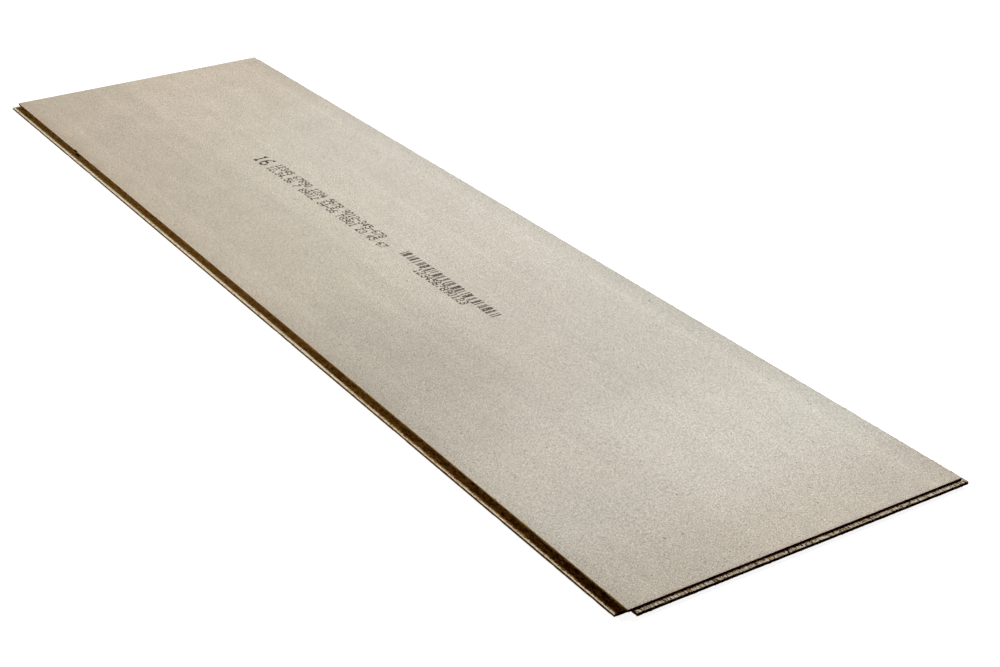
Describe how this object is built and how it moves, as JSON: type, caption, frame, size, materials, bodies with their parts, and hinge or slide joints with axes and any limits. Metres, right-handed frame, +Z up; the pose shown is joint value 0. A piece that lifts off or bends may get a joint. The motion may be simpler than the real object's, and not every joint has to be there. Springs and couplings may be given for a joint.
{
  "type": "chipboard floor panel",
  "caption": "Flat chipboard flooring panel, milled with a tongue on one side and end and a groove with a longer lower lip on the opposite ones, so panels interlock into a floor.",
  "frame": {"origin": "on the underside, below the middle of the covering face", "axes": "+Z up out of the walking face, +X along the length towards the tongued end, +Y across the width towards the tongued side"},
  "size_m": [2.4195, 0.6195, 0.016],
  "materials": {
    "chipboard": "raw sanded chipboard, matte",
    "ink": "dry black marking ink"
  },
  "bodies": {
    "root": {"floor_panel": "chipboard"}
  },
  "joints": []
}
